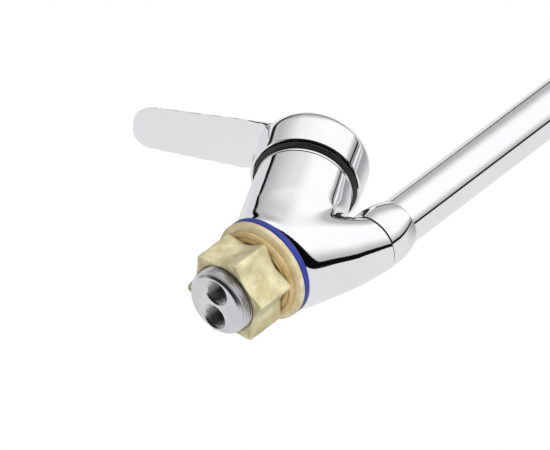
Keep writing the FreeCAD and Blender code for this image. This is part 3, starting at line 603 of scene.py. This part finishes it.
apply_modifier(body, "SMOOTH", factor=0.5, iterations=300, vertex_group="crotch")
apply_modifier(body, "SMOOTH", factor=0.5, iterations=30)


def trim(piece, point, normal):
    """Cut a piece flat at a plane and close it, keeping what lies along the normal."""
    bpy.ops.object.select_all(action="DESELECT")
    bpy.context.view_layer.objects.active = piece
    piece.select_set(True)
    bpy.ops.object.mode_set(mode="EDIT")
    bpy.ops.mesh.select_all(action="SELECT")
    bpy.ops.mesh.bisect(plane_co=Vector(point) * mm, plane_no=normal, use_fill=True, clear_inner=True,
                        threshold=0.0001 * mm)
    bpy.ops.object.mode_set(mode="OBJECT")


trim(body, (0, 0, base_level), (0, 0, 1))
trim(body, along_column(column_reach), -column_axis)
chamber_girth, chamber_floor, gallery_girth, gallery_floor = 17.6, 31.0, 19.7, 50.4
socket_girth, socket_floor, lock_girth, lock_level = 9.1, 29.5, 2.05, 33.5
cut(body, rod(seam_girth + 0.9, (0, riser_y, seam_level), (0, riser_y, seam_level + 12)))
cut(body, rod(shank_crest + 0.05, (0, 0, -5), (0, 0, shank_top)))
cut(body, rod(chamber_girth, along_column(chamber_floor), along_column(column_reach + 5)))
cut(body, rod(gallery_girth, along_column(gallery_floor), along_column(column_reach + 5)))
cut(body, rod(socket_girth, (0, riser_y, socket_floor), (0, riser_y, seam_level + 5)))
cut(body, rod(lock_girth, (-30, riser_y, lock_level), (0, riser_y, lock_level), 32))
bpy.ops.object.shade_smooth_by_angle(angle=radians(35))
chrome = finish("polished_chrome", (0.93, 0.935, 0.94), (0.90, 0.905, 0.915), (0.025, 0.06), 1.0,
                patch=35, fine=400, relief=0.02, relief_depth=0.02)
dress(body, chrome)
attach(body, "fixed")
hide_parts("body_casting")

# ---- Trim ring
# A turned ring pressed on the top of the column closes it round the cartridge.  Its lip
# is polished and rounded, and it leaves a thin dark seam on the column.
trim_top, trim_girth, trim_bore, seam_in = 61.5, 23.2, 19.6, 22.2
trim_ring = turned("column_trim_ring", [
    (trim_bore, column_reach), (seam_in, column_reach), (seam_in, column_reach + 0.45),
    (trim_girth - 0.5, column_reach + 0.5), (trim_girth - 0.1, column_reach + 0.75),
    (trim_girth, column_reach + 1.1), (trim_girth, trim_top - 0.8), (trim_girth - 0.25, trim_top - 0.3),
    (trim_girth - 0.9, trim_top), (trim_bore, trim_top)])
soften(trim_ring, 0.1, 2)
stand(trim_ring, on_column)
dress(trim_ring, chrome)
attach(trim_ring, "fixed")
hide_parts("trim_ring")

# ---- Slide ring
# A black acetal ring lies on the trim ring and is made wide enough to nearly fill the handle's mouth.  The dark
# band it shows under the rim is partly the ring's own black and partly painted shade standing in for the shadowed
# gap.
black_acetal = finish("black_acetal", (0.012, 0.012, 0.013), (0.022, 0.022, 0.024), (0.3, 0.45), 0.0,
                      patch=150, fine=2500, relief=0.1)
slide_bore, slide_girth, slide_top = 14.6, 24.9, trim_top + 1.5
slide_ring = turned("black_slide_ring", [
    (slide_bore, trim_top), (22.2, trim_top), (23.4, trim_top + 0.35), (slide_girth - 0.1, trim_top + 0.7),
    (slide_girth, trim_top + 1.2), (slide_girth - 0.3, slide_top), (slide_bore, slide_top)])
soften(slide_ring, 0.1, 2)
stand(slide_ring, on_column)
dress(slide_ring, black_acetal)
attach(slide_ring, "fixed")
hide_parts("slide_ring")

# ---- Handle
# One zinc casting, chromed: a domed cap that covers the cartridge, hollow below with a hub
# for the stem, and a broad flat lever that grows out of the cap's front with a fillet.
rim_reach, skirt_reach, skirt_girth = 63.5, 79.0, 27.1
dome_section = [(26.95, 80.6), (26.3, 82.4), (25.3, 84.2), (23.6, 85.9), (21.0, 87.3), (17.5, 88.5),
                (14.0, 89.35), (9.0, 90.1), (4.0, 90.5), (0.5, 90.6)]
cap = turned("handle_chromed", [
    (26.1, rim_reach - 3), (26.3, rim_reach), (skirt_girth, skirt_reach)] + dome_section, solid=True)
lever_half, tip_half, lever_length, lever_thick = 16.6, 12.4, 87.1, 5.4
lever_level, droop, tip_corner = 86.1, radians(2.1), 10.2
crown_steps = ((0.9, 0.9), (1.4, 1.8), (1.3, 2.4), (1.0, 3.0), (0.5, 3.4))
bpy.ops.object.select_all(action="DESELECT")
bpy.ops.mesh.primitive_plane_add(
    size=2 * mm, location=(0, -lever_length / 2 * mm, -lever_thick / 2 * mm))
lever = bpy.context.object
lever.data.transform(Matrix.Diagonal((lever_half, lever_length / 2, 1, 1)))
bpy.ops.object.transform_apply()
for vertex in lever.data.vertices:
    if vertex.co.y < -lever_length / 2 * mm:
        vertex.co.x *= tip_half / lever_half
bpy.ops.object.mode_set(mode="EDIT")
bpy.ops.mesh.select_all(action="DESELECT")
outline = bmesh.from_edit_mesh(lever.data)
for vertex in outline.verts:
    vertex.select = vertex.co.y < -lever_length / 2 * mm
bmesh.update_edit_mesh(lever.data)
bpy.ops.mesh.bevel(offset=tip_corner * mm, segments=14, profile=0.52, affect="VERTICES")
bpy.ops.mesh.select_all(action="SELECT")
for climb, draw_in in crown_steps:
    bpy.ops.mesh.extrude_region_move(TRANSFORM_OT_translate={"value": (0, 0, climb * mm)})
    bpy.ops.transform.resize(value=(1 - draw_in / lever_half, 1 - 2 * draw_in / lever_length, 1),
                             center_override=(0, -lever_length / 2 * mm, 0))
bpy.ops.mesh.select_all(action="SELECT")
bpy.ops.mesh.normals_make_consistent(inside=False)
bpy.ops.object.mode_set(mode="OBJECT")
level_lever = Matrix.Rotation(-droop, 4, "X") @ Matrix.Translation((0, 0, -lever_level * mm))
stand(cap, level_lever)
bpy.ops.object.select_all(action="DESELECT")
for part in (cap, lever):
    part.select_set(True)
bpy.context.view_layer.objects.active = cap
bpy.ops.object.join()
handle = cap
apply_modifier(handle, "REMESH", mode="VOXEL", voxel_size=0.45 * mm)
root = handle.vertex_groups.new(name="lever_root")
round_cap = handle.vertex_groups.new(name="round_cap")
for vertex in handle.data.vertices:
    spot = level_lever.inverted() @ vertex.co / mm
    from_cap = abs(hypot(spot.x, spot.y) - skirt_girth)
    side = abs(abs(spot.x) - (lever_half - 3.1 * -spot.y / lever_length))
    face = abs(abs(spot.z - lever_level + spot.y * sin(droop)) - lever_thick / 2)
    near_root = 1 - (from_cap + min(side, face)) / 10.0
    if near_root > 0 and spot.y < -8 and abs(spot.x) < 26:
        root.add([vertex.index], min(1.0, 1.6 * near_root), "REPLACE")
    if hypot(spot.x, spot.y) < 30:
        round_cap.add([vertex.index], 1.0, "REPLACE")
apply_modifier(handle, "SMOOTH", factor=0.5, iterations=150, vertex_group="lever_root")
apply_modifier(handle, "SMOOTH", factor=0.5, iterations=16, vertex_group="round_cap")
apply_modifier(handle, "SMOOTH", factor=0.5, iterations=9)
stand(handle, level_lever.inverted())
trim(handle, (0, 0, rim_reach), (0, 0, 1))
rim_bore, cavity_bore, cavity_reach = 25.3, 24.6, 71.0
roof_girth, roof_reach, hub_girth, hub_floor = 21.0, 77.5, 9.0, 66.2
cut(handle, turned("cap_hollow", [
    (0.5, rim_reach - 2), (rim_bore, rim_reach - 2), (rim_bore, rim_reach + 1.5),
    (cavity_bore, cavity_reach), (roof_girth, roof_reach), (hub_girth, roof_reach),
    (hub_girth, hub_floor), (0.5, hub_floor)], solid=True, around=128))
bpy.ops.object.select_all(action="DESELECT")
square_size, square_centre = 8.1, 75.8
bpy.ops.mesh.primitive_cube_add(size=square_size * mm, location=(0, 0, square_centre * mm))
square = bpy.context.object
bpy.ops.object.transform_apply()
for vertex in square.data.vertices:
    if vertex.co.z < square_centre * mm:
        vertex.co.z = (hub_floor - 1.2) * mm
cut(handle, square)
grub_reach = 71.8
cut(handle, rod(2.5, (0, 0, grub_reach), (0, -13.5, grub_reach), 32))
cut(handle, rod(3.45, (0, -20.6, grub_reach), (0, -32.0, grub_reach), 48))
bpy.ops.object.shade_smooth_by_angle(angle=radians(35))
stand(handle, on_column)
dress(handle, chrome)
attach(handle, "lever")
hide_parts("handle")

# ---- Index plug
# The small plug that hides the grub screw is moulded in two colours, blue and red, and
# stands a little proud of the skirt with a domed face.
plug = turned("two_colour_plug", [
    (3.38, 24.8), (3.38, 26.35), (3.2, 26.65), (2.6, 26.85), (1.6, 26.97), (0.3, 27.0)],
    solid=True, around=64)
stand(plug, on_column @ Matrix.Translation((0, 0, grub_reach * mm)) @ Matrix.Rotation(pi / 2, 4, "X"))
bpy.ops.object.shade_smooth_by_angle(angle=radians(40))
index_plastic = finish("index_plastic", (0.06, 0.09, 0.50), (0.07, 0.11, 0.56), (0.18, 0.32), 0.0,
                       patch=300, fine=3000, relief=0.1)
tree = index_plastic.node_tree
across = add_node(tree, "SeparateXYZ", {0: add_node(tree, "TexCoord").outputs["Object"]})
halves = add_node(tree, "Mix", {
    0: ramp(tree, across.outputs["X"], -0.05 * mm, 0.05 * mm), 6: (0.55, 0.03, 0.04, 1.0),
    7: tree.nodes["colour"].outputs[2]}, data_type="RGBA")
tree.links.new(halves.outputs[2], tree.nodes["Principled BSDF"].inputs["Base Color"])
dress(plug, index_plastic)
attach(plug, "lever")
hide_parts("index_plug")

# ---- Spout collar
# The turned and chromed collar at the spout's foot bulges a little above the seam and
# draws in to the tube, where it is soldered with a sharp inner corner.
collar_low, collar_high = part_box("spout_collar")
collar_foot, collar_top, collar_straight = collar_low.z / mm, collar_high.z / mm, 52.5
collar_bore = 11.62
collar_section = [(collar_bore, collar_foot), (seam_girth - 0.3, collar_foot),
                  (seam_girth, collar_foot + 0.3)]
for step in range(17):
    share = step / 16
    collar_section.append((seam_girth - 2.2 * share ** 2.0 + 0.12 * sin(pi * share),
                           collar_straight + (collar_top - 0.5 - collar_straight) * share))
collar_section += [(seam_girth - 2.6, collar_top - 0.1), (11.9, collar_top), (collar_bore, collar_top)]
collar = turned("spout_collar_chromed", collar_section)
bpy.ops.object.shade_smooth_by_angle(angle=radians(35))
on_riser = Matrix.Translation((0, riser_y * mm, 0))
stand(collar, on_riser)
dress(collar, chrome)
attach(collar, "spout")
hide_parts("spout_collar")

# ---- Spout tube
# Drawn brass tube, bent in a half circle and chromed.  A disc is drawn up the riser, spun
# over the bend and drawn down to the outlet, and the wall is then given its thickness.
tube_girth, tube_wall, tube_foot = 11.6, 1.1, 52.0
riser_top, bend, tube_end = 215.0, 85.0, 172.0
bpy.ops.object.select_all(action="DESELECT")
bpy.ops.mesh.primitive_circle_add(
    vertices=96, radius=tube_girth * mm, location=(0, riser_y * mm, tube_foot * mm))
tube = bpy.context.object
tube.name = tube.data.name = "spout_tube_chromed"
bpy.ops.object.transform_apply()
bpy.ops.object.mode_set(mode="EDIT")
bpy.ops.mesh.select_all(action="SELECT")
bpy.ops.mesh.extrude_region_move(TRANSFORM_OT_translate={"value": (0, 0, (riser_top - tube_foot) * mm)})
bpy.ops.mesh.spin(steps=64, angle=pi, center=(0, (riser_y - bend) * mm, riser_top * mm), axis=(-1, 0, 0))
bpy.ops.mesh.extrude_region_move(TRANSFORM_OT_translate={"value": (0, 0, (tube_end - riser_top) * mm)})
bpy.ops.mesh.select_all(action="SELECT")
bpy.ops.mesh.remove_doubles(threshold=0.01 * mm)
bpy.ops.mesh.normals_make_consistent(inside=False)
bpy.ops.object.mode_set(mode="OBJECT")
apply_modifier(tube, "SOLIDIFY", thickness=tube_wall * mm, offset=-1.0)
bpy.ops.object.shade_smooth_by_angle(angle=radians(35))
dress(tube, chrome)
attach(tube, "spout")
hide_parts("spout_tube")

# ---- Aerator housing
# The chromed ring on the spout's end screws over the tube.  A fine knurl round its foot
# gives grip for the fingers.
aerator_low, aerator_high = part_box("aerator_housing")
aerator_foot, aerator_top = aerator_low.z / mm, aerator_high.z / mm
housing = turned("aerator_ring", [
    (9.2, aerator_foot), (11.7, aerator_foot), (12.25, aerator_foot + 0.45), (12.25, aerator_foot + 1.2),
    (12.0, aerator_foot + 1.5), (12.0, aerator_foot + 1.9), (12.3, aerator_foot + 2.1),
    (12.3, aerator_foot + 8.4), (12.0, aerator_foot + 8.6), (12.0, aerator_foot + 9.0),
    (12.35, aerator_foot + 9.3), (12.4, aerator_top - 0.8), (12.0, aerator_top), (11.63, aerator_top),
    (11.63, tube_end - 0.2), (10.4, tube_end - 0.2), (10.4, aerator_foot + 1.6), (9.2, aerator_foot + 1.6)],
    around=240)
for vertex in housing.data.vertices:
    reach, level = hypot(vertex.co.x, vertex.co.y) / mm, vertex.co.z / mm
    if 12.25 < reach and aerator_foot + 2 < level < aerator_foot + 8.5:
        ridge = 0.5 + 0.5 * cos(80 * atan2(vertex.co.y, vertex.co.x))
        share = 1 - 0.014 * ridge
        vertex.co.x *= share
        vertex.co.y *= share
bpy.ops.object.shade_smooth_by_angle(angle=radians(35))
outlet_y = aerator_low.y / 2 + aerator_high.y / 2
stand(housing, Matrix.Translation((0, outlet_y, 0)))
dress(housing, chrome)
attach(housing, "spout")
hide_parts("aerator_housing")

# ---- Lock screw
# A steel grub screw with a hexagon socket, sunk in the body's left side, keeps the spout
# from lifting out.
screw_low, screw_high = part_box("spout_lock_screw")
screw_centre = (screw_low + screw_high) / 2 / mm
screw = turned("lock_grub_screw", [
    (1.7, screw_low.x / mm), (1.98, screw_low.x / mm + 0.3), (1.98, screw_high.x / mm - 0.5),
    (1.5, screw_high.x / mm)], solid=True, around=48)
bpy.ops.object.select_all(action="DESELECT")
bpy.ops.mesh.primitive_cylinder_add(vertices=6, radius=1.15 * mm, depth=4 * mm,
                                    location=(0, 0, screw_low.x))
cut(screw, bpy.context.object)
bpy.ops.object.shade_smooth_by_angle(angle=radians(30))
stand(screw, Matrix.Translation((0, screw_centre.y * mm, screw_centre.z * mm))
      @ Matrix.Rotation(pi / 2, 4, "Y"))
machined_steel = finish("machined_steel", (0.64, 0.65, 0.67), (0.54, 0.55, 0.57), (0.24, 0.4), 1.0,
                        patch=200, fine=3000, relief=0.15)
dress(screw, machined_steel)
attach(screw, "fixed")
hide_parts("spout_lock_screw")

# ---- Cartridge, spigot and aerator insides
# These pieces keep their shapes from the frame and only take their finishes: moulded
# plastic, lapped ceramic, nitrile rubber, turned brass and machined steel.
white_acetal = finish("white_acetal", (0.80, 0.81, 0.80), (0.72, 0.73, 0.72), (0.35, 0.5), 0.0,
                      patch=120, fine=2200, relief=0.12)
nitrile = finish("nitrile", (0.02, 0.02, 0.021), (0.04, 0.04, 0.04), (0.5, 0.7), 0.0,
                 patch=160, fine=2000, relief=0.2)
lapped_ceramic = finish("lapped_ceramic", (0.93, 0.93, 0.91), (0.88, 0.88, 0.86), (0.08, 0.2), 0.0,
                        patch=200, fine=3000, relief=0.05)
turned_brass = finish("turned_brass", (0.83, 0.66, 0.33), (0.70, 0.54, 0.25), (0.22, 0.4), 1.0,
                      patch=150, fine=2600, relief=0.15)
finishes = {"black_plastic": black_acetal, "white_plastic": white_acetal, "black_rubber": nitrile,
            "ceramic": lapped_ceramic, "turned_brass": turned_brass, "steel": machined_steel}
for part in frame["record"]["subparts"]:
    node = frame["nodes"][part["node"]]
    if not node.hide_render:
        dress(node, finishes[part["material_slot"]])
